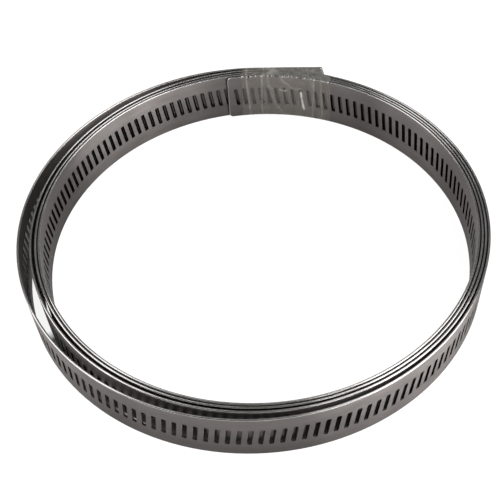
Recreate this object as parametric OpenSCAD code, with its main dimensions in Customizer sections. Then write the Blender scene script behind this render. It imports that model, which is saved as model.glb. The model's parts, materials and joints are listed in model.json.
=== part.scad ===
// A loose coil of slotted stainless steel strap, lying flat and held by a wrap of clear tape.
// The Z axis goes up through the middle of the coil's bore, and the tape's underside lies on z = 0.
// The back is +Y: there the strap's outer end stops following the coil and stands off straight.

/* [Strap] */
// Width of the strap, which is the coil's height as it lies
strap_width = 12.7; // [10:0.1:20]
// Thickness of the strap
strap_thickness = 0.5; // [0.3:0.05:0.8]
// Radius of the rounded corners at the strap's two ends
corner_radius = 1; // [0.2:0.1:1.5]

/* [Slots] */
// Distance from one slot to the next along the strap
slot_pitch = 2.08; // [1.8:0.01:4]
// Width of a slot, along the strap
slot_width = 0.96; // [0.4:0.02:1.2]
// Length of a slot, across the strap
slot_length = 5.3; // [2:0.1:7]
// How far each slot leans from square across the strap, in degrees
slot_lean = 7; // [0:0.5:12]
// Plain strap from an end to the first slot
plain_end = 1.8; // [1.2:0.1:10]

/* [Coil] */
// Diameter inside the innermost turn, from front to back
inner_diameter = 94; // [70:1:140]
// Turns of the coil, besides the overlap of its two ends
turns = 4; // [2:1:5]
// Gap between neighbouring turns where the coil is tight
turn_gap = 0.2; // [0.06:0.01:0.3]
// How far the outermost turn has sprung out at the left
outermost_slack = 2.4; // [0.5:0.05:4]
// How far the turn inside it has sprung out at the left
next_slack = 0.4; // [0:0.05:0.4]
// Gap at the back between the outermost turn and the next
back_gap = 0.2; // [0.1:0.05:1]
// How far the inner end runs on past the back of the coil, in degrees
inner_lap = 12; // [8:0.5:20]
// Length of the outer end, which was never bent and stands off straight
straight_end = 16.4; // [8:0.1:18]

/* [Tape] */
// Width that the wraps of tape cover, which is a little more than the tape's own width
tape_width = 22.5; // [22:0.5:36]
// Thickness of the tape where it is wrapped round the turns
tape_thickness = 0.12; // [0.05:0.01:0.3]
// How far the tape reaches past the strap's outer end
tape_past_end = 2.1; // [1:0.1:6]

/* [Hidden] */
$fn = 180;
overshoot = 1;
corner_share = 0.3; // what the cut corners of a slot's ends take of its width
cut_share = 0.8; // what a slot's cut takes of the gaps beside the strap, half on each side
slant_share = 0.25; // what the slanting film takes of the tape that is past the strap's end
half_thickness = strap_thickness / 2;
turn_pitch = strap_thickness + turn_gap;
outermost_side = 2 * turns - 1;

// The innermost turn opens to the left and the front by twice this, and the coil is wound about
// its own axis, which is moved back and to the right by this to bring the bore's middle to the Z axis
bore_shift = turn_pitch / 4;

// Distance from the coil's own axis to the middle of the strap's thickness at each side. Sides
// are counted from the right of the innermost turn outwards, so odd ones are on the left.
function side_reach(side) =
    inner_diameter / 2 + half_thickness + side / 2 * turn_pitch
    + (side == outermost_side ? outermost_slack : side == outermost_side - 2 ? next_slack : 0);

// The strap winds outwards and clockwise in half turns, about centres to the left and right of the
// axis. Each is [the centre's x, the radius, the angle it starts from, the angle it goes through].
function half_turn(side, sweep = 180) =
    let (radius = (side_reach(side) + side_reach(side + 1)) / 2)
    [(side % 2 == 0 ? 1 : -1) * (side_reach(side) - radius), radius, sweep - 180 * (side + 1), sweep];
back_reach = half_turn(outermost_side - 2)[1] + strap_thickness + back_gap;
arcs = [
    half_turn(-1, 90 + inner_lap),
    for (side = [0:outermost_side - 1]) half_turn(side),
    [back_reach - side_reach(outermost_side), back_reach, 180, 90]
];
last_arc = arcs[len(arcs) - 1];
arc_below = arcs[len(arcs) - 3];

// Length of strap from the inner end to the end of each arc
function arc_length(arc) = arc[1] * arc[3] * PI / 180;
arc_ends = [
    for (index = 0, length = arc_length(arcs[0]); index < len(arcs);
        index = index + 1, length = length + (index < len(arcs) ? arc_length(arcs[index]) : 0)) length
];
strap_length = arc_ends[len(arcs) - 1] + straight_end;
slot_count = floor((strap_length - 2 * plain_end - slot_width) / slot_pitch) + 1;

// Places what belongs at a length before an arc's outer end, with the strap's inner end towards +Y
module on_arc(arc, length) {
    translate([arc[0], 0, 0])
        rotate([0, 0, arc[2] - arc[3] + length / arc[1] * 180 / PI])
            translate([arc[1], 0, 0])
                children();
}

// Places what belongs at a length along the straight outer end, in the same way
module on_straight_end(length) {
    translate([last_arc[0] + length, back_reach, 0])
        rotate([0, 0, 90])
            children();
}

module wound_strap() {
    for (arc = arcs)
        translate([arc[0], 0, 0])
            rotate([0, 0, arc[2] - arc[3]])
                rotate_extrude(angle = arc[3])
                    translate([arc[1] - half_thickness, 0])
                        square([strap_thickness, strap_width]);
    on_straight_end(straight_end)
        translate([-half_thickness, 0, 0])
            cube([strap_thickness, straight_end, strap_width]);
}

// A slot's ends are rounded by cutting off their corners
module slot_outline() {
    wide = slot_width / 2;
    long = slot_length / 2;
    cut = slot_width * corner_share;
    polygon([
        [wide, cut - long], [wide, long - cut], [wide - cut, long], [cut - wide, long],
        [-wide, long - cut], [-wide, cut - long], [cut - wide, -long], [wide - cut, -long]
    ]);
}

module slot_cut() {
    depth = strap_thickness + turn_gap * cut_share;
    translate([-depth / 2, 0, strap_width / 2])
        rotate([-slot_lean, 0, 0])
            rotate([90, 0, 90])
                linear_extrude(depth)
                    slot_outline();
}

module strap_slots() {
    for (slot = [0:slot_count - 1]) {
        place = plain_end + slot_width / 2 + slot * slot_pitch;
        index = len([for (end = arc_ends) if (end < place) end]);
        if (index < len(arcs))
            on_arc(arcs[index], arc_ends[index] - place) slot_cut();
        else
            on_straight_end(place - arc_ends[index - 1]) slot_cut();
    }
}

// What is cut from a strap that starts at y = 0 and runs towards +Y, to round its two corners
module corner_cuts() {
    for (side = [0, 1])
        translate([-strap_thickness, 0, side * strap_width])
            mirror([0, 0, side])
                rotate([90, 0, 90])
                    linear_extrude(2 * strap_thickness)
                        difference() {
                            translate([-overshoot, -overshoot])
                                square(corner_radius + overshoot);
                            translate([corner_radius, corner_radius])
                                circle(corner_radius);
                        }
}

module strap() {
    color("silver")
        translate([bore_shift, bore_shift, tape_thickness])
            difference() {
                wound_strap();
                strap_slots();
                on_arc(arcs[0], arc_ends[0]) mirror([0, 1, 0]) corner_cuts();
                on_straight_end(straight_end) corner_cuts();
            }
}

// What the tape goes round, grown by a film's thickness: the turns, the straight end and, past its
// tip, the wedge where the film slants down to the turn below
module bundle(film, height) {
    face = back_reach + half_thickness + film;
    below = arc_below[1] + half_thickness + film;
    start = last_arc[0];
    tip = start + straight_end + film;
    landing = tip + tape_past_end * slant_share;
    difference() {
        union() {
            intersection() {
                translate([start, 0, 0])
                    cylinder(height, r = face);
                translate([start - tape_width, 0, 0])
                    cube([tape_width, face + overshoot, height]);
            }
            linear_extrude(height)
                polygon([
                    [start, 0], [start, face], [tip, face],
                    [landing, sqrt(below ^ 2 - (landing - arc_below[0]) ^ 2)], [landing, 0]
                ]);
            translate([arc_below[0], 0, 0])
                cylinder(height, r = below);
        }
        translate([arcs[0][0], 0, -overshoot])
            cylinder(height + 2 * overshoot, r = arcs[0][1] - half_thickness - film);
    }
}

module tape() {
    right_edge = last_arc[0] + straight_end + tape_past_end;
    color("gainsboro", 0.5)
        translate([bore_shift, bore_shift, 0])
            intersection() {
                difference() {
                    bundle(tape_thickness, strap_width + 2 * tape_thickness);
                    translate([0, 0, tape_thickness])
                        bundle(0, strap_width);
                }
                translate([right_edge - tape_width, 0, -overshoot])
                    cube([tape_width, inner_diameter, strap_width + 2 * overshoot]);
            }
}

strap();
tape();
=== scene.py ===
"""Looks for a loose coil of slotted stainless steel strap, held by a wrap of clear tape."""
import json
import math

import bpy
import numpy as np
from mathutils import Matrix, Quaternion, Vector
from mathutils.geometry import delaunay_2d_cdt


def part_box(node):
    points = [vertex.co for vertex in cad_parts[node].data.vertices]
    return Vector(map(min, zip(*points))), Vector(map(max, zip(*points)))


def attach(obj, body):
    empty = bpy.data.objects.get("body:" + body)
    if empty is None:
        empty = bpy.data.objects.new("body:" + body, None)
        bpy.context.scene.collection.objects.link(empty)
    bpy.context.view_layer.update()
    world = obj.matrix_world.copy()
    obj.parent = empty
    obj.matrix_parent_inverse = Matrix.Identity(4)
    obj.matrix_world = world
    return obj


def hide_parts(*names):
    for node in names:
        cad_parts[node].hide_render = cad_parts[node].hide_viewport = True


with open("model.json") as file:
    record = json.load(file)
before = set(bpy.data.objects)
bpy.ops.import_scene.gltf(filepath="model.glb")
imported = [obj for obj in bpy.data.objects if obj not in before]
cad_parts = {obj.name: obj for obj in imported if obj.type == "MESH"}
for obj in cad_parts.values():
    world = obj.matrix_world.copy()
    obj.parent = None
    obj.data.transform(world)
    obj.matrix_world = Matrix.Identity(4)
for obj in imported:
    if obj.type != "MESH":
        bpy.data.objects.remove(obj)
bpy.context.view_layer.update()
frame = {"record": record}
MM = 0.001
UP = np.array([0.0, 0.0, 1.0])

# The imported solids' boxes and the record give these, in millimetres
STRAP_LOW, STRAP_HIGH = (np.array(corner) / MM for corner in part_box("strap"))
TAPE_LOW, TAPE_HIGH = (np.array(corner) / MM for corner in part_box("tape"))
MOUNTS = {mount["name"]: mount for mount in frame["record"]["mounts"]}
BORE_RADIUS = MOUNTS["coil_bore"]["dims"]["r_mm"]
STRAP_WIDTH = STRAP_HIGH[2] - STRAP_LOW[2]
FLOOR_TO_STRAP = STRAP_LOW[2]

# Driving sizes of the strap and its coil, in millimetres and degrees, as the solids have them
THICKNESS = 0.5
HALF = THICKNESS / 2
TURN_GAP = 0.2
TURN_PITCH = THICKNESS + TURN_GAP
TURNS = 4
OUTERMOST_SIDE = 2 * TURNS - 1
OUTERMOST_SLACK = 2.4
NEXT_SLACK = 0.4
BACK_GAP = 0.2
INNER_LAP = 12
STRAIGHT_END = 16.4
END_CORNER = 1.0
SLOT_PITCH = 2.08
SLOT_WIDTH = 0.96
SLOT_LENGTH = 5.3
SLOT_LEAN = 7.0
PLAIN_END = 1.8
BORE_SHIFT = TURN_PITCH / 4
TAPE_PAST_END = 2.1
SLANT_SHARE = 0.25
TAPE_SLANT = SLANT_SHARE * TAPE_PAST_END

# Fine shape that the solids leave out, in millimetres: the small corners of a slit edge, the corners
# of a slot's outline and the chamfer round it
EDGE_CORNER = 0.08
SLOT_CORNER = 0.26
SLOT_RIM = 0.05


def side_reach(side):
    """Distance from the coil's own axis to the strap's middle, at each side, from the inside out."""
    slack = {OUTERMOST_SIDE: OUTERMOST_SLACK, OUTERMOST_SIDE - 2: NEXT_SLACK}.get(side, 0)
    return BORE_RADIUS + HALF + side / 2 * TURN_PITCH + slack


def half_turn(side, sweep=180):
    """Half a turn, clockwise: its centre's x, its radius, where it starts and how far it goes."""
    radius = (side_reach(side) + side_reach(side + 1)) / 2
    to_right = 1 if side % 2 == 0 else -1
    return to_right * (side_reach(side) - radius), radius, sweep - 180 * (side + 1), sweep


def wound_arcs():
    """Every arc that the strap is wound in, from its inner end outwards."""
    back_reach = half_turn(OUTERMOST_SIDE - 2)[1] + THICKNESS + BACK_GAP
    arcs = [half_turn(-1, 90 + INNER_LAP)]
    arcs += [half_turn(side) for side in range(OUTERMOST_SIDE)]
    arcs += [(back_reach - side_reach(OUTERMOST_SIDE), back_reach, 180, 90)]
    return np.array(arcs, float)


ARCS = wound_arcs()
ARC_ENDS = np.cumsum(ARCS[:, 1] * np.radians(ARCS[:, 3]))
WOUND_LENGTH = ARC_ENDS[-1]
STRAP_LENGTH = WOUND_LENGTH + STRAIGHT_END
SLOT_COUNT = math.floor((STRAP_LENGTH - 2 * PLAIN_END - SLOT_WIDTH) / SLOT_PITCH) + 1


def along(length):
    """The strap's middle and its outward normal, at each length from the inner end."""
    length = np.asarray(length, float)
    index = np.minimum(np.searchsorted(ARC_ENDS, length), len(ARCS) - 1)
    centre, radius, start, sweep = np.moveaxis(ARCS[index], -1, 0)
    on_arc = np.minimum(length, WOUND_LENGTH)
    angle = np.radians(start - sweep) + (ARC_ENDS[index] - on_arc) / radius
    normal = np.stack([np.cos(angle), np.sin(angle), np.zeros_like(angle)], -1)
    middle = normal * radius[..., None]
    middle[..., 0] += centre + BORE_SHIFT + np.maximum(length - WOUND_LENGTH, 0)
    middle[..., 1] += BORE_SHIFT
    middle[..., 2] = FLOOR_TO_STRAP
    return middle, normal


class MeshMaker:
    """Gathers vertices with their normals and face lists, in millimetres, and makes one mesh of them."""

    def __init__(self):
        self.points, self.normals, self.uvs, self.faces, self.finishes = [], [], [], [], []
        self.count = 0

    def add(self, points, normals, uvs):
        """Adds vertices and gives their numbers, in the shape that they came in."""
        shape = points.shape[:-1]
        number = int(np.prod(shape))
        self.points.append(points.reshape(-1, 3))
        self.normals.append(np.broadcast_to(normals, points.shape).reshape(-1, 3))
        self.uvs.append(np.broadcast_to(uvs, shape + (2,)).reshape(-1, 2))
        self.count += number
        return np.arange(self.count - number, self.count).reshape(shape)

    def skin(self, faces, finish=0):
        """Adds faces, all with as many corners."""
        faces = np.asarray(faces)
        faces = faces.reshape(-1, faces.shape[-1])
        self.faces += faces.tolist()
        self.finishes += [finish] * len(faces)

    def grid(self, numbers, finish=0, flip=False):
        """Joins a grid of vertex numbers with four-sided faces."""
        quads = np.stack([numbers[:-1, :-1], numbers[1:, :-1], numbers[1:, 1:], numbers[:-1, 1:]], -1)
        self.skin(quads[..., ::-1] if flip else quads, finish)

    def make(self, name):
        mesh = bpy.data.meshes.new(name)
        mesh.from_pydata((np.concatenate(self.points) * MM).tolist(), [], self.faces)
        mesh.polygons.foreach_set("material_index", self.finishes)
        corners = np.zeros(len(mesh.loops), np.int32)
        mesh.loops.foreach_get("vertex_index", corners)
        layer = mesh.uv_layers.new(name="length_height")
        layer.data.foreach_set("uv", np.concatenate(self.uvs)[corners].astype(np.float32).ravel())
        mesh.normals_split_custom_set_from_vertices(np.concatenate(self.normals).tolist())
        made = bpy.data.objects.new(name, mesh)
        bpy.context.scene.collection.objects.link(made)
        return made


# The strap's slit edge is a low crown between two small round corners. This is how far its surface
# tilts from the outline, in degrees, from a face over the corner and then up the crown
CORNER_TILTS = (90, 62)
CROWN_TILTS = (35, 18)


def edge_profile():
    """The edge from the outer face over to the inner one: (how far out, how far in from the outline)
    and the same for its normal. The first and last of them lie on the faces."""
    steepest = math.radians(CROWN_TILTS[0])
    crown = (HALF - EDGE_CORNER * (1 - math.sin(steepest))) / math.sin(steepest)
    corner_inset = crown * (1 - math.cos(steepest)) + EDGE_CORNER * math.cos(steepest)
    corner, rise = np.radians(CORNER_TILTS), np.radians(CROWN_TILTS)
    out = np.concatenate([HALF - EDGE_CORNER * (1 - np.sin(corner)), crown * np.sin(rise), [0]])
    inset = np.concatenate([corner_inset - EDGE_CORNER * np.cos(corner), crown * (1 - np.cos(rise)), [0]])
    tilt = np.concatenate([corner, rise, [0]])
    outer = np.stack([out, inset, np.sin(tilt), np.cos(tilt)], -1)
    return np.concatenate([outer, outer[-2::-1] * [-1, 1, -1, 1]])


EDGE = edge_profile()
EDGE_INSET = EDGE[0, 1]
# Shares of a face's height that its vertices lie at, degrees along the round corners of the strap's
# ends and of its slots, and how near two corners of a face count as one, in millimetres
FACE_LEVELS = np.array([0.0, 0.17, 0.36, 0.64, 0.83, 1.0])
END_TURNS = np.arange(0, 91, 15)
SLOT_TURNS = np.arange(0, 91, 30)
SAME_PLACE = 1e-6


def strap_point(length, out, height):
    """Where a length along the strap, a distance out from its middle and a height lie."""
    middle, normal = along(length)
    return middle + normal * np.asarray(out)[..., None] + UP * np.asarray(height)[..., None]


def rim(maker, outline_length, outline_height, length_normal, height_normal):
    """The rounded edge at some points of the strap's outline, whose normals are in its own plane.
    Rows go along the outline, and columns from the outer face over to the inner one."""
    out, inset, normal_out, normal_edge = (row[None, :] for row in EDGE.T)
    length = outline_length[:, None] - inset * length_normal[:, None]
    height = outline_height[:, None] - inset * height_normal[:, None]
    normal = along(length)[1]
    forward = np.cross(normal, UP)
    sideways = forward * length_normal[:, None, None] + UP * height_normal[:, None, None]
    return maker.add(strap_point(length, np.broadcast_to(out, length.shape), height),
                     normal * normal_out[..., None] + sideways * normal_edge[..., None],
                     np.stack([length, height + out], -1))


def slot_ring(grow):
    """A slot's outline as (along, up) from its middle, grown by a margin, and its outward normals."""
    wide, long, corner = SLOT_WIDTH / 2 + grow, SLOT_LENGTH / 2 + grow, SLOT_CORNER + grow
    points, normals = [], []
    for quarter, (side_x, side_y) in enumerate([(1, 1), (-1, 1), (-1, -1), (1, -1)]):
        for degrees in SLOT_TURNS:
            angle = math.radians(90 * quarter + degrees)
            normals.append((math.cos(angle), math.sin(angle)))
            points.append((side_x * (wide - corner) + corner * math.cos(angle),
                           side_y * (long - corner) + corner * math.sin(angle)))
        if quarter % 2:
            points.append((side_x * wide, 0))
            normals.append((side_x, 0))
    lean = math.radians(SLOT_LEAN)
    turn = np.array([[math.cos(lean), math.sin(lean)], [-math.sin(lean), math.cos(lean)]])
    return np.array(points) @ turn, np.array(normals) @ turn


def slotted_cell(ring):
    """Triangles between a cell's two straight sides and its slot, whose corners are numbered
    from the near side's face levels, then the far side's, then round the slot."""
    heights = EDGE_INSET + FACE_LEVELS * (STRAP_WIDTH - 2 * EDGE_INSET) - STRAP_WIDTH / 2
    near = np.stack([np.full_like(heights, -SLOT_PITCH / 2), heights], -1)
    far = near * [-1, 1]
    corners = np.concatenate([near, far, ring])
    first = 2 * len(heights)
    loop = [(first + step, first + (step + 1) % len(ring)) for step in range(len(ring))]
    found = delaunay_2d_cdt([Vector(corner) for corner in corners], loop, [], 0, SAME_PLACE)
    triangles = np.array(found[2])
    return triangles[(triangles < first).any(axis=1)]


def strap_outline(sides):
    """The strap's lower outline from the inner end to the outer one, with round corners: length along
    the strap, height, and the two parts of its normal in the strap's own plane."""
    turn = np.radians(END_TURNS)
    from_end = END_CORNER * (1 - np.cos(turn))
    rise = END_CORNER * (1 - np.sin(turn))
    length = np.concatenate([from_end, sides, STRAP_LENGTH - from_end[::-1]])
    low = np.concatenate([rise, np.zeros(len(sides)), rise[::-1]])
    length_normal = np.concatenate([-np.cos(turn), np.zeros(len(sides)), np.cos(turn)[::-1]])
    return length, low, length_normal, -np.sqrt(1 - length_normal ** 2)


def strap_faces(maker, outline, bottom, top):
    """Numbers over the outer and the inner face: rows along the strap, and columns from the bottom
    edge's last vertices, through the face's own, to the top edge's."""
    length, low, length_normal, height_normal = outline
    face_length = length - EDGE_INSET * length_normal
    face_low = low - EDGE_INSET * height_normal
    heights = face_low[:, None] + FACE_LEVELS[1:-1] * (STRAP_WIDTH - 2 * face_low)[:, None]
    grid_length = np.broadcast_to(face_length[:, None], heights.shape)
    normal = along(grid_length)[1]
    faces = []
    for out, column in ((HALF, 0), (-HALF, -1)):
        middle = maker.add(strap_point(grid_length, np.full(heights.shape, out), heights),
                           normal * np.sign(out), np.stack([grid_length, heights], -1))
        faces.append(np.concatenate([bottom[:, column, None], middle, top[:, column, None]], 1))
    return faces


def strap_end(maker, row, forward, length, bottom, top, faces):
    """Closes the strap at one end, between its edges' last rows. Forward is the way that it faces."""
    out, inset, normal_out, normal_edge = EDGE[1:-1].T
    level = END_CORNER + FACE_LEVELS[1:-1, None] * (STRAP_WIDTH - 2 * END_CORNER)
    end_grid, level_grid = np.broadcast_arrays((length[row] - inset * forward)[None, :], level)
    normal = along(end_grid)[1]
    middle = maker.add(strap_point(end_grid, np.broadcast_to(out, end_grid.shape), level_grid),
                       normal * normal_out[:, None]
                       + np.cross(normal, UP) * (forward * normal_edge)[:, None],
                       np.stack([end_grid, level_grid], -1))
    sides = [face[row][1:-1, None] for face in faces]
    numbers = np.concatenate([bottom[row][None, :], np.concatenate([sides[0], middle, sides[1]], 1),
                              top[row][None, :]])
    maker.grid(numbers, 1, flip=forward < 0)


def slot_loops(maker, rings, centres):
    """Numbers round every slot, for each of its rings from the outer face through to the inner one."""
    loops = []
    for (points, outward), depth in zip(rings, (HALF, HALF - SLOT_RIM, SLOT_RIM - HALF, -HALF)):
        ring_length = centres[:, None] + points[:, 0]
        ring_height = np.broadcast_to(STRAP_WIDTH / 2 + points[:, 1], ring_length.shape)
        normal = along(ring_length)[1]
        if abs(depth) == HALF:
            ring_normal = normal * np.sign(depth)
        else:
            ring_normal = -(np.cross(normal, UP) * outward[:, 0, None] + UP * outward[:, 1, None])
        loops.append(maker.add(strap_point(ring_length, np.full(ring_length.shape, depth), ring_height),
                               ring_normal, np.stack([ring_length, ring_height], -1)))
    return loops


def strap_mesh():
    maker = MeshMaker()
    sides = PLAIN_END + SLOT_WIDTH / 2 + (np.arange(SLOT_COUNT + 1) - 0.5) * SLOT_PITCH
    outline = strap_outline(sides)
    length, low, length_normal, height_normal = outline
    bottom = rim(maker, length, low, length_normal, height_normal)
    top = rim(maker, length, STRAP_WIDTH - low, length_normal, -height_normal)
    maker.grid(bottom, 1)
    maker.grid(top, 1, flip=True)
    faces = strap_faces(maker, outline, bottom, top)
    for row, forward in ((0, -1), (-1, 1)):
        strap_end(maker, row, forward, length, bottom, top, faces)

    # Plain strap at both ends, and a slot in each cell between
    first, last = len(END_TURNS), len(END_TURNS) + SLOT_COUNT
    rings = [slot_ring(SLOT_RIM), slot_ring(0), slot_ring(0), slot_ring(SLOT_RIM)]
    loops = slot_loops(maker, rings, (sides[:-1] + sides[1:]) / 2)
    cell = slotted_cell(rings[0][0])
    for face, loop, flip in ((faces[0], loops[0], True), (faces[1], loops[3], False)):
        maker.grid(face[:first + 1], 0, flip)
        maker.grid(face[last:], 0, flip)
        corners = np.concatenate([face[first:last], face[first + 1:last + 1], loop], 1)
        triangles = corners[:, cell]
        maker.skin(triangles[..., ::-1] if flip else triangles)
    for outer, inner in zip(loops, loops[1:]):
        quads = np.stack([outer, np.roll(outer, -1, 1), np.roll(inner, -1, 1), inner], -1)
        maker.skin(quads[..., ::-1])
    return maker.make("slotted_strap")


# The tape is wound three times round the strap, and its wraps don't line up: each goes from one of
# these x positions to another, in millimetres
WRAPS = ((-6.0, 12.4), (-4.6, 14.7), (-0.8, 17.0))
WRAP_THICKNESS = 0.03
# How far a wrap's edge wanders to each side on its way round, and how broad its step is
WRAP_DRIFT = 0.35
WRAP_EDGE = 0.6
# The film's least distance from the strap's faces, its radius at the bundle's corners and the steps of
# its mesh: across the tape and up the walls, in degrees round a corner, and how many over the top
FILM_CLEARANCE = 0.01
FILM_CORNER = 0.3
FILM_STEP = 0.19
FILM_TURNS = (22.5, 45, 67.5)
TOP_COLUMNS = 26
# The film lies over the top where it faces up by more than the first of these shares, and round the
# bore's top corner where it faces both up and towards the bore by more than the second
TOP_FACING = 0.5
CORNER_FACING = 0.1

# Over the bore's wall the film stands off loosely by this much, give or take its ripples. Elsewhere it
# ripples within the room that the solids' box leaves it. At the bore's corners its slant, taken as at
# least this, says how far that room lets it stand off
LOOSE_LIFT = 0.03
LOOSE_RIPPLE = 0.02
LEAST_SLANT = 0.1
# Ripples are sums of waves, each as long as a share, between these two, of the longest. What they are
# divided by keeps them mostly from -1 to 1
RIPPLE_WAVES = 12
WAVE_SHARES = (0.3, 1)
RIPPLE_HEIGHT = 1.5
LOOSE_WAVE = 6.0
TIGHT_WAVE = 2.5
FILM_SEED = 5

# How cloudy the film is with all its wraps, at a wrap's edge and over the top of the strap
FILM_HAZE = 0.035
EDGE_HAZE = 0.16
TOP_HAZE = 0.03
# Over the straight end the film is crumpled into a grey, patchy lid, which begins between these x
LID_START = (0.5, 3.5)
LID_HAZE = 0.5
LID_GREY = 0.28

# Creases in the film over the bore's wall: x and height of points along each, how far it stands up,
# and how cloudy it is
CREASE_WIDTH = 0.24
CREASES = (
    (((0.8, 12.4), (1.2, 9.0), (2.1, 5.6), (3.4, 2.7), (5.1, 0.6)), 0.05, 0.07),
    (((9.2, 8.0), (9.5, 5.4), (10.0, 3.0)), 0.16, 1.2),
    (((3.8, 12.8), (4.6, 11.4), (6.2, 10.2)), 0.07, 0.12),
    (((11.4, 12.8), (12.2, 10.6), (12.0, 8.8)), 0.06, 0.06),
    (((6.6, 9.4), (8.0, 8.9), (9.0, 9.3)), 0.05, 0.1),
    (((3.9, 8.6), (4.9, 8.2), (5.6, 8.5)), 0.05, 0.2),
)


def back_face(arc, x, offset):
    """Where a face of the strap lies towards the back, at each x, on one arc of the coil."""
    centre, radius = ARCS[arc][:2]
    return BORE_SHIFT + np.sqrt((radius + offset) ** 2 - (x - centre - BORE_SHIFT) ** 2)


def wrapped_depth(x):
    """The wrapped bundle's near and far sides at each x, as y."""
    start = ARCS[-1][0] + BORE_SHIFT
    tip = start + STRAIGHT_END
    straight = ARCS[-1][1] + HALF + BORE_SHIFT
    landing = back_face(-3, tip + TAPE_SLANT, HALF)
    slant = np.clip((x - tip) / TAPE_SLANT, 0, 1)
    far = np.where(x < start, back_face(-1, np.minimum(x, start), HALF), straight)
    far = np.where(x > tip, straight + (landing - straight) * slant, far)
    return back_face(0, x, -HALF), np.where(x > tip + TAPE_SLANT, back_face(-3, x, HALF), far)


def film_round():
    """The line that the film follows round the bundle, from the bottom of the bore's wall upwards:
    (share of depth, share of height) on the bundle, less its rounded corners, and outward directions."""
    wall = np.linspace(0, 1, round((STRAP_WIDTH - 2 * FILM_CORNER) / FILM_STEP))
    top = np.linspace(0, 1, TOP_COLUMNS)
    bend = np.radians(FILM_TURNS)
    parts = ((0 * wall, wall, 0 * wall + math.pi), (0 * bend, 0 * bend + 1, math.pi - bend),
             (top, 0 * top + 1, 0 * top + math.pi / 2), (0 * bend + 1, 0 * bend + 1, bend[::-1]),
             (0 * wall + 1, wall[::-1], 0 * wall), (0 * bend + 1, 0 * bend, -bend),
             (top[::-1], 0 * top, 0 * top - math.pi / 2), (0 * bend, 0 * bend, bend - math.pi))
    deep, high, angle = (np.concatenate([part[row] for part in parts]) for row in range(3))
    return deep, high, np.stack([np.cos(angle), np.sin(angle)], -1)


def creases(x, z):
    """How far the creases lift the film off the wall at each place, and how cloudy they make it."""
    lift, cloud = np.zeros_like(x), np.zeros_like(x)
    for points, height, whiteness in CREASES:
        nearest = np.full(x.shape, np.inf)
        for start, end in zip(np.array(points), np.array(points[1:])):
            step = end - start
            share = np.clip(((x - start[0]) * step[0] + (z - start[1]) * step[1]) / (step @ step), 0, 1)
            nearest = np.minimum(nearest, np.hypot(x - start[0] - share * step[0],
                                                   z - start[1] - share * step[1]))
        profile = np.exp(-(nearest / CREASE_WIDTH) ** 2)
        lift = np.maximum(lift, height * profile)
        cloud = np.maximum(cloud, whiteness * profile)
    return lift, cloud


def ripples(x, z, longest, seed):
    """Gentle ripples, mostly from -1 to 1: a sum of waves that run any way."""
    random = np.random.default_rng(seed)
    total = np.zeros_like(x)
    for wave in range(RIPPLE_WAVES):
        way, phase = random.uniform(0, 2 * math.pi, 2)
        length = longest * random.uniform(*WAVE_SHARES)
        total += np.sin((x * math.cos(way) + z * math.sin(way)) * 2 * math.pi / length + phase)
    return total / RIPPLE_WAVES ** 0.5 / RIPPLE_HEIGHT


def film_grid():
    """Numbers over the film's sheet: rows go across the tape, and columns round the bundle. Gives each
    place's x, y and z on the bundle, its outward direction, its wraps, how far wrinkles lift it and
    how cloudy the creases make it."""
    x = np.linspace(TAPE_LOW[0], TAPE_HIGH[0], round((TAPE_HIGH[0] - TAPE_LOW[0]) / FILM_STEP))
    near, far = wrapped_depth(x)
    deep, high, out = film_round()
    core = near[:, None] + FILM_CORNER + deep * (far - near - 2 * FILM_CORNER)[:, None]
    x = np.broadcast_to(x[:, None], core.shape)
    z = np.broadcast_to(FLOOR_TO_STRAP + FILM_CORNER + high * (STRAP_WIDTH - 2 * FILM_CORNER), core.shape)
    around = np.arange(len(deep)) / len(deep) * 2 * math.pi
    wraps = np.zeros_like(core)
    for number, (left, right) in enumerate(WRAPS):
        drift = WRAP_DRIFT * np.sin(around + 2 * number)
        wraps += np.clip(np.minimum(x - left - drift, right + drift - x) / WRAP_EDGE, 0, 1)
    wraps = np.maximum(wraps, 1)
    room = TAPE_HIGH[2] - STRAP_HIGH[2] - FILM_CLEARANCE - wraps * WRAP_THICKNESS
    at_bore = out[:, 0] < 0
    crease, cloud = creases(x, z)
    loose = LOOSE_LIFT + LOOSE_RIPPLE * ripples(x, z, LOOSE_WAVE, FILM_SEED) + crease
    tight = room * (0.5 + 0.5 * ripples(x, core + z, TIGHT_WAVE, FILM_SEED + 1))
    most = np.where(at_bore, room / np.maximum(np.abs(out[:, 1]), LEAST_SLANT), room)
    lift = np.clip(np.where(at_bore, loose, tight), 0, most)
    return x, core, z, out, wraps, lift, np.where(at_bore, cloud, 0)


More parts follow.
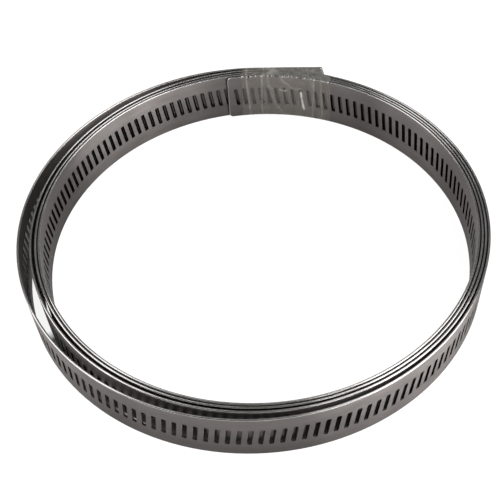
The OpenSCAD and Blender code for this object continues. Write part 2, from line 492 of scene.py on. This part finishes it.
def tape_mesh():
    """The film as a closed sleeve with a thickness: an inner sheet, an outer one and two rims. Its
    attributes say where it is cloudy, crumpled at the bore's top corner, and grey over the straight end."""
    x, y, z, out, wraps, lift, cloud = film_grid()
    edges = np.abs(wraps - np.round(wraps)) * 2
    top = out[:, 1] > TOP_FACING
    lid = np.interp(x, LID_START, (0, 1)) * top
    clouds = FILM_HAZE * wraps / len(WRAPS) + EDGE_HAZE * edges + TOP_HAZE * top + LID_HAZE * lid + cloud
    at_corner = (out[:, 0] < -CORNER_FACING) & (out[:, 1] > CORNER_FACING)
    crumpled = np.broadcast_to(at_corner, wraps.shape)
    maker = MeshMaker()
    sheets = []
    for stand_off in (FILM_CLEARANCE + lift, FILM_CLEARANCE + lift + wraps * WRAP_THICKNESS):
        reach = FILM_CORNER + stand_off
        points = np.stack([x, y + out[:, 0] * reach, z + out[:, 1] * reach], -1)
        across = np.gradient(points, axis=0)
        round_it = np.roll(points, -1, 1) - np.roll(points, 1, 1)
        normals = np.cross(across, round_it)
        normals /= np.linalg.norm(normals, axis=-1, keepdims=True)
        girth = np.cumsum(np.linalg.norm(round_it, axis=-1) / 2, axis=1)
        numbers = maker.add(points, normals * (-1 if len(sheets) == 0 else 1), np.stack([x, girth], -1))
        sheets.append(np.concatenate([numbers, numbers[:, :1]], 1))
    inner, outer = sheets
    maker.grid(inner, flip=True)
    maker.grid(outer)
    maker.grid(np.stack([inner[0], outer[0]]))
    maker.grid(np.stack([inner[-1], outer[-1]]), flip=True)
    tape = maker.make("clear_tape_wraps")
    for name, values in (("haze", clouds), ("crumple", crumpled), ("lid", lid)):
        layer = tape.data.attributes.new(name, "FLOAT", "POINT")
        layer.data.foreach_set("value", np.tile(values.ravel(), 2).astype(np.float32))
    return tape


def node(tree, kind, inputs=None, **settings):
    """Adds a shader node. Inputs are its own values, or another node's output to link."""
    made = tree.nodes.new("ShaderNode" + kind)
    for name, value in settings.items():
        setattr(made, name, value)
    for name, value in (inputs or {}).items():
        if isinstance(value, bpy.types.NodeSocket):
            tree.links.new(value, made.inputs[name])
        else:
            made.inputs[name].default_value = value
    return made


def product(tree, first, second, clamp=False):
    return node(tree, "Math", {0: first, 1: second}, operation="MULTIPLY", use_clamp=clamp).outputs[0]


def scaled(tree, colour, share):
    return node(tree, "VectorMath", {0: colour, "Scale": share}, operation="SCALE").outputs[0]


def length_height(tree):
    """A place on the strap's length and height, or on the film's own breadth and girth, in millimetres."""
    return node(tree, "UVMap", uv_map="length_height").outputs[0]


def stretched_noise(tree, scale, detail, roughness=0.5):
    """Noise on the surface's own length and height, drawn out by a scale for each."""
    stretch = node(tree, "VectorMath", {0: length_height(tree), 1: scale}, operation="MULTIPLY")
    noise = node(tree, "TexNoise", {"Vector": stretch.outputs[0], "Scale": 1.0, "Detail": detail,
                                    "Roughness": roughness})
    return noise.outputs[0]


def remap(tree, value, low, high, from_low=0.3, from_high=0.7):
    """Turns one range into another. Noise stays mostly between 0.3 and 0.7."""
    return node(tree, "MapRange", {0: value, 1: from_low, 2: from_high, 3: low, 4: high}).outputs[0]


# Painted shade darkens the steel where other steel is this near, in millimetres. It leaves this share
# of the colour where the surface is no more open than the first of these, and all of it past the second
PAINTED_SHADE_REACH = 0.8
PAINTED_SHADE_DARKNESS = 0.2
PAINTED_SHADE_OPENNESS = (0.6, 0.95)

# Finishes of the strap: two colours, two roughnesses, how far its highlights are drawn out across the
# strap, the scale of its fine lines, and what its colour is multiplied by at the strap's foot and top:
# painted shade at the foot and painted light at the top
ROLLED_STEEL = ("rolled_steel", ((0.098, 0.089, 0.085), (0.142, 0.129, 0.124)), (0.38, 0.46), 1.0,
                (0.03, 9.0, 1.0), (0.72, 1.4))
SLIT_EDGE_STEEL = ("slit_edge_steel", ((0.36, 0.348, 0.34), (0.52, 0.504, 0.492)), (0.12, 0.2), 0.3,
                   (0.25, 9.0, 1.0), (1.0, 1.0))
MOTTLE_SCALE = (0.11, 0.35, 1.0)
MOTTLE_SHARE = 0.6
COLOUR_STOPS = (0.35, 0.65)
# A quarter turn, so that highlights are drawn out across the fine lines and not along them
HIGHLIGHT_TURN = 0.25
ROLLED_RELIEF = 0.02
RELIEF_STRENGTH = 0.25
OPENNESS_SAMPLES = 8


def new_material(name):
    material = bpy.data.materials.new(name)
    material.use_nodes = True
    return material, material.node_tree


def steel(name, colours, roughnesses, anisotropic, lines, height_light_and_shade):
    """Rolled steel with fine lines along the strap. Its colour carries painted shade wherever other steel
    lies close in front of it: behind the slots, in them and between the turns; and painted shade at its
    foot and painted light at its top."""
    material, tree = new_material(name)
    shader = tree.nodes["Principled BSDF"]
    shader.inputs["Metallic"].default_value = 1.0
    shader.inputs["Anisotropic"].default_value = anisotropic
    shader.inputs["Anisotropic Rotation"].default_value = HIGHLIGHT_TURN
    rolled = stretched_noise(tree, lines, detail=4.0)
    mottled = product(tree, stretched_noise(tree, MOTTLE_SCALE, detail=3.0), MOTTLE_SHARE)
    mix = node(tree, "Math", {0: rolled, 1: 1 - MOTTLE_SHARE, 2: mottled},
               operation="MULTIPLY_ADD").outputs[0]
    ramp = node(tree, "ValToRGB", {0: mix})
    for element, stop, colour in zip(ramp.color_ramp.elements, COLOUR_STOPS, colours):
        element.position = stop
        element.color = (*colour, 1)
    # Painted shade: the colour darkens where other steel lies close, in the slots and between the turns
    openness = node(tree, "AmbientOcclusion", {"Distance": PAINTED_SHADE_REACH * MM}, samples=OPENNESS_SAMPLES,
                    only_local=True).outputs["AO"]
    unshaded = remap(tree, openness, PAINTED_SHADE_DARKNESS, 1.0, *PAINTED_SHADE_OPENNESS)
    # Painted shade at the strap's foot and painted light at its top, multiplied into the colour with the
    # painted shade between the turns
    height = node(tree, "SeparateXYZ", {0: length_height(tree)}).outputs[1]
    painted_shading = product(tree, unshaded, remap(tree, height, *height_light_and_shade, 0, STRAP_WIDTH))
    tree.links.new(scaled(tree, ramp.outputs[0], painted_shading), shader.inputs["Base Color"])
    tree.links.new(remap(tree, mix, *roughnesses), shader.inputs["Roughness"])
    bump = node(tree, "Bump", {"Height": rolled, "Strength": RELIEF_STRENGTH,
                               "Distance": ROLLED_RELIEF * MM})
    tree.links.new(bump.outputs[0], shader.inputs["Normal"])
    tangent = node(tree, "Tangent", direction_type="UV_MAP", uv_map="length_height")
    tree.links.new(tangent.outputs[0], shader.inputs["Tangent"])
    return material


def make_strap():
    strap = strap_mesh()
    strap.data.materials.append(steel(*ROLLED_STEEL))
    strap.data.materials.append(steel(*SLIT_EDGE_STEEL))
    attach(strap, "root")
    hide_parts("strap")


# The film's own look. Haze comes and goes in patches, by these shares of it, and the relief of its
# crinkles is in millimetres, where it is smooth and where it is crumpled
HAZE_PATCHES = (0.3, 1.7)
PATCH_SCALE = (0.6, 0.6, 1.0)
CRINKLE_SCALE = (2.2, 2.2, 1.0)
CRINKLE_RELIEF = (0.012, 0.25)
FOLD_SCALE = (1.9, 0.3, 1.0)
# How fine the noise of its haze and crinkles is, and how rough
FILM_DETAIL = (4.0, 0.6)
FILM_TINT = (0.98, 0.97, 0.95)
FILM_CLOUD = (0.6, 0.58, 0.54)
FILM_ROUGHNESS = 0.12
# What the film mirrors when it is seen straight on, and how late that grows towards a slant
LEAST_MIRROR = 0.015
SLANT_POWER = 5.0

# Folds in the crumpled film: how much light the darkest hold back, as painted shade, how far the
# brightest mirror, and the noise between which each kind comes in
FOLD_PAINTED_SHADE = 0.75
SHADED_FOLDS = (0.42, 0.5)
FOLD_MIRROR = 0.4
BRIGHT_FOLDS = (0.55, 0.65)


def film():
    """Clear film that mirrors more at a slant and is cloudy by its haze. Where it is crumpled, it has
    folds darkened with painted shade and bright folds, and over the straight end its cloudiness is grey."""
    material, tree = new_material("clear_film")
    tree.nodes.clear()
    haze, crumple, lid = (node(tree, "Attribute", attribute_name=name).outputs["Fac"]
                          for name in ("haze", "crumple", "lid"))
    patches = remap(tree, stretched_noise(tree, PATCH_SCALE, *FILM_DETAIL), *HAZE_PATCHES)
    haze = product(tree, haze, patches, clamp=True)
    crinkle = stretched_noise(tree, CRINKLE_SCALE, *FILM_DETAIL)
    relief = product(tree, crinkle, remap(tree, crumple, *CRINKLE_RELIEF, 0.0, 1.0))
    bump = node(tree, "Bump", {"Height": relief, "Strength": 1.0, "Distance": MM}).outputs[0]
    pinched = stretched_noise(tree, FOLD_SCALE, detail=2.0)
    # Painted shade in the dark folds: less light passes through the film there
    fold_shade = product(tree, crumple, remap(tree, pinched, FOLD_PAINTED_SHADE, 0.0, *SHADED_FOLDS))
    glint = product(tree, crumple, remap(tree, pinched, 0.0, FOLD_MIRROR, *BRIGHT_FOLDS))
    passed = scaled(tree, FILM_TINT, remap(tree, fold_shade, 1.0, 0.0, 0.0, 1.0))
    grey = scaled(tree, FILM_CLOUD, remap(tree, lid, 1.0, LID_GREY, 0.0, 1.0))
    clear = node(tree, "BsdfTransparent", {"Color": passed})
    cloud = node(tree, "BsdfDiffuse", {"Color": grey, "Normal": bump})
    shine = node(tree, "BsdfGlossy", {"Color": (1, 1, 1, 1), "Roughness": FILM_ROUGHNESS, "Normal": bump})
    body = node(tree, "MixShader", {0: haze, 1: clear.outputs[0], 2: cloud.outputs[0]})
    facing = node(tree, "LayerWeight", {"Blend": 0.5, "Normal": bump}).outputs["Facing"]
    grazing = node(tree, "Math", {0: facing, 1: SLANT_POWER}, operation="POWER").outputs[0]
    mirror = remap(tree, grazing, remap(tree, glint, LEAST_MIRROR, 1.0, 0.0, 1.0), 1.0, 0.0, 1.0)
    surface = node(tree, "MixShader", {0: mirror, 1: body.outputs[0], 2: shine.outputs[0]})
    node(tree, "OutputMaterial", {"Surface": surface.outputs[0]})
    return material


def make_tape():
    tape = tape_mesh()
    tape.data.materials.append(film())
    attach(tape, "root")
    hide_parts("tape")


# Camera: how it stands to the coil's middle, in millimetres and degrees
CAMERA_DISTANCE = 200.98
CAMERA_ELEVATION = 49.84
CAMERA_ROLL = -3.958
CAMERA_TURN = 5.5
CAMERA_AIM = (-1.82, -0.26)
SENSOR = 36
LENS = 62.83


def make_camera():
    rise = math.radians(CAMERA_ELEVATION)
    back = Vector((0, -math.cos(rise), math.sin(rise)))
    right = Vector((1, 0, 0))
    axes = Matrix((right, back.cross(right), back)).transposed()
    axes = axes @ Matrix.Rotation(math.radians(CAMERA_ROLL), 3, "Z")
    turn = Matrix.Rotation(math.radians(CAMERA_TURN), 3, "Z")
    place = Vector((*CAMERA_AIM, 0)) + CAMERA_DISTANCE * back
    coil_axis = Vector((BORE_SHIFT, BORE_SHIFT, FLOOR_TO_STRAP))
    data = bpy.data.cameras.new("camera")
    data.sensor_width = SENSOR
    data.lens = LENS
    camera = bpy.data.objects.new("camera", data)
    bpy.context.scene.collection.objects.link(camera)
    camera.matrix_world = Matrix.Translation((turn @ place + coil_axis) * MM) @ (turn @ axes).to_4x4()
    bpy.context.scene.camera = camera


# The floor's sizes are in millimetres, and its glow is what it shows as, where 1 is white
FLOOR_HALF = 6000.0
FLOOR_LEVEL = -0.03
FLOOR_GLOW = 0.9
FLOOR_COLOUR = (0.2, 0.2, 0.2)

# The glow hides the shade that the strap itself gives the floor, so that is laid on in two strips, just
# over the floor: what is left of the glow and of the colour in full shade
SHADE_LIFT = 0.01
SHADED_GLOW = 0.05
SHADED_SHARE = 0.3
# Inside the outermost turn, how deep the shade is at each azimuth
GAP_AZIMUTHS = (-153, -150, -125, -112, -100, -5)
GAP_SHADES = (0, 1, 1, 0.4, 0.15, 0.15)
# Outside it, which way the wall's shadow falls and how far for each millimetre of height, where it
# eases in and out in length before the wound strap's end, and how deep it is from each height
SHADOW_AZIMUTH = 115
SHADOW_SLOPE = 1.0
SHADED_LENGTHS = (3, 36, 78, 104)
SHADE_HEIGHTS = (0, 9.2, 10.8, 12.4)
SHADE_SHARES = (1, 0.95, 0.4, 0)


def ray_reach(arc, azimuth):
    """How far from the coil's axis the middle of the strap lies on one arc, at each azimuth."""
    centre, radius = ARCS[arc][:2]
    return centre * np.cos(azimuth) + np.sqrt(radius ** 2 - (centre * np.sin(azimuth)) ** 2)


def gap_strip():
    """The floor inside the outermost turn, where the gap is narrow and little light gets down to it:
    points across the gap at each azimuth, and how much of the floor's glow is shaded at each."""
    azimuth = np.radians(np.arange(GAP_AZIMUTHS[0], GAP_AZIMUTHS[-1] + 1))
    shade = np.interp(np.degrees(azimuth), GAP_AZIMUTHS, GAP_SHADES)
    reach = np.stack([ray_reach(OUTERMOST_SIDE - 2, azimuth), ray_reach(OUTERMOST_SIDE, azimuth)], -1)
    way = np.stack([np.cos(azimuth), np.sin(azimuth), 0 * azimuth], -1)
    return way[:, None] * reach[..., None] + (BORE_SHIFT, BORE_SHIFT, 0), np.stack([shade, shade], -1)


def wall_strip():
    """The same for the shadow that the outermost turn's wall throws on the floor at the left and the
    back, away from light at the front right. It lies still on the floor."""
    wound = np.arange(WOUND_LENGTH - SHADED_LENGTHS[-1], WOUND_LENGTH - SHADED_LENGTHS[0])
    lengths, heights = np.meshgrid(wound, SHADE_HEIGHTS, indexing="ij")
    wall = strap_point(lengths, np.full(lengths.shape, HALF), heights)
    turn = math.radians(SHADOW_AZIMUTH)
    points = wall + (SHADOW_SLOPE * wall[..., 2])[..., None] * (math.cos(turn), math.sin(turn), 0)
    ease = np.interp(WOUND_LENGTH - wound, SHADED_LENGTHS, (0, 1, 1, 0))
    return points, ease[:, None] * SHADE_SHARES


def floor_mesh():
    """The floor, with the two strips of shade just over it."""
    mesh = bpy.data.meshes.new("floor")
    corners = [(side_x * FLOOR_HALF, side_y * FLOOR_HALF, FLOOR_LEVEL)
               for side_x, side_y in ((-1, -1), (1, -1), (1, 1), (-1, 1))]
    count = len(corners)
    points, faces, shades = [np.array(corners)], [tuple(range(count))], [np.zeros(count)]
    for strip, shade in (gap_strip(), wall_strip()):
        strip[..., 2] = FLOOR_LEVEL + SHADE_LIFT
        numbers = count + np.arange(shade.size).reshape(shade.shape)
        quads = np.stack([numbers[:-1, :-1], numbers[:-1, 1:], numbers[1:, 1:], numbers[1:, :-1]], -1)
        faces += quads.reshape(-1, 4).tolist()
        points.append(strip.reshape(-1, 3))
        shades.append(shade.ravel())
        count += numbers.size
    mesh.from_pydata((np.concatenate(points) * MM).tolist(), [], faces)
    layer = mesh.attributes.new("shade", "FLOAT", "POINT")
    layer.data.foreach_set("value", np.concatenate(shades).astype(np.float32))
    return mesh


def pale_floor():
    """Grey to the light that falls on it, with a glow for the camera and for what mirrors the floor or
    lets it through."""
    material, tree = new_material("pale_floor")
    tree.nodes.clear()
    path = node(tree, "LightPath")
    seen = node(tree, "Math", {0: path.outputs["Is Camera Ray"], 1: path.outputs["Is Glossy Ray"]},
                operation="MAXIMUM")
    seen = node(tree, "Math", {0: seen.outputs[0], 1: path.outputs["Is Transmission Ray"]},
                operation="MAXIMUM")
    shade = node(tree, "Attribute", attribute_name="shade").outputs["Fac"]
    lit = remap(tree, shade, FLOOR_GLOW, SHADED_GLOW, 0.0, 1.0)
    strength = product(tree, seen.outputs[0], lit)
    glow = node(tree, "Emission", {"Color": (1, 1, 1, 1), "Strength": strength})
    grey = scaled(tree, FLOOR_COLOUR, remap(tree, shade, 1.0, SHADED_SHARE, 0.0, 1.0))
    matt = node(tree, "BsdfDiffuse", {"Color": grey})
    both = node(tree, "AddShader", {0: glow.outputs[0], 1: matt.outputs[0]})
    node(tree, "OutputMaterial", {"Surface": both.outputs[0]})
    return material


def make_floor():
    floor = bpy.data.objects.new("floor", floor_mesh())
    bpy.context.scene.collection.objects.link(floor)
    floor.data.materials.append(pale_floor())


# Soft lamps, a metre away from the coil: azimuth, elevation and roll in degrees, width and height in
# metres, and radiance
LAMP_DISTANCE = 1.0
LAMPS = {
    "left_softbox": (180, 41, 24, 0.6, 0.85, 2.6),
    "right_softbox": (-9, 44, -32, 0.7, 1.0, 3.6),
    "low_right_softbox": (-26, 9, 0, 1.5, 0.3, 8.0),
    "back_left_strip": (123, 61, 22, 0.45, 0.14, 3.0),
    "back_right_strip": (69, 63, -35, 0.45, 0.18, 3.6),
    "strip_light": (-52, 56, 0, 0.08, 0.5, 4.5),
    "front_softbox": (-101, 16, 0, 1.45, 0.3, 3.3),
}
SKY_STRENGTH = 0.22


def make_softbox(name, azimuth, elevation, roll, width, height, radiance):
    """A soft lamp that faces the coil. The azimuth is counted from +X towards +Y, and a roll above 0
    lifts the lamp's left-hand end as the coil sees it."""
    data = bpy.data.lights.new(name, "AREA")
    data.shape = "RECTANGLE"
    data.size, data.size_y = width, height
    data.energy = radiance * math.pi * width * height
    lamp = bpy.data.objects.new(name, data)
    bpy.context.scene.collection.objects.link(lamp)
    around, rise = math.radians(azimuth), math.radians(elevation)
    away = Vector((math.cos(around) * math.cos(rise), math.sin(around) * math.cos(rise), math.sin(rise)))
    lamp.location = away * LAMP_DISTANCE
    lamp.rotation_mode = "QUATERNION"
    lamp.rotation_quaternion = away.to_track_quat("Z", "Y") @ Quaternion((0, 0, 1), math.radians(roll))
    lamp.visible_camera = False


def make_world():
    world = bpy.data.worlds.new("studio")
    bpy.context.scene.world = world
    world.use_nodes = True
    tree = world.node_tree
    tree.nodes.clear()
    seen = node(tree, "LightPath").outputs["Is Camera Ray"]
    sky = node(tree, "Background", {"Color": (1, 1, 1, 1),
                                    "Strength": remap(tree, seen, SKY_STRENGTH, FLOOR_GLOW, 0.0, 1.0)})
    node(tree, "OutputWorld", {"Surface": sky.outputs[0]})


make_strap()
make_tape()
make_floor()
for lamp, sizes in LAMPS.items():
    make_softbox(lamp, *sizes)
make_world()
make_camera()
bpy.context.scene.view_settings.view_transform = "Standard"
